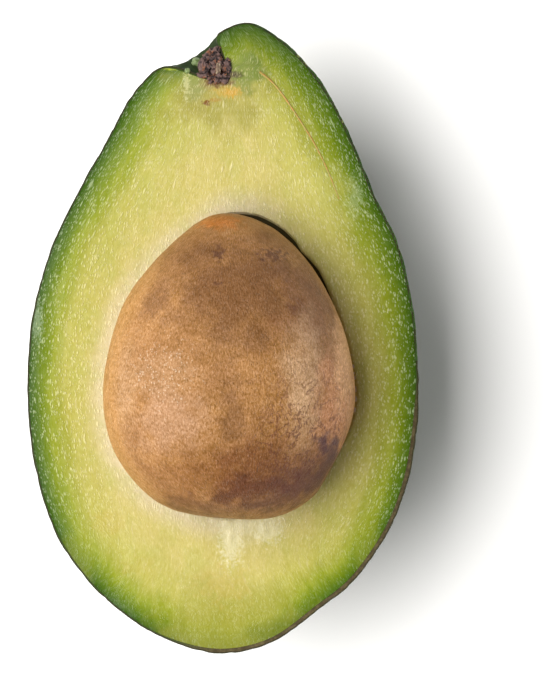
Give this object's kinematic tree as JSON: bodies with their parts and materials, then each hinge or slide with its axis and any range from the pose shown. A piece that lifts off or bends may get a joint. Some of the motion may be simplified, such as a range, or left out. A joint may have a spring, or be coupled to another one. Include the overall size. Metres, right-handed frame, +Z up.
{
  "type": "avocado half",
  "caption": "Half an avocado lying on its round side, cut face up, with its seed in the hollow and the dried stem end in the dimple.",
  "frame": {"origin": "middle of the half seen from above, on the surface that it rests on", "axes": "+Z up, the way the cut face looks; +Y along the fruit towards its stem end; +X to the right seen from above with the stem end ahead"},
  "size_m": [0.0652, 0.1048, 0.0584],
  "materials": {
    "skin": "pebbled dark green peel with a satin gloss",
    "flesh": "wet fresh-cut flesh, green at the skin to pale yellow at the seed",
    "seed": "satin papery brown seed coat",
    "stem_end": "rough dried stem remnant"
  },
  "bodies": {
    "root": {"skin": "skin", "flesh": "flesh", "seed": "seed", "stem_end": "stem_end"}
  },
  "joints": []
}
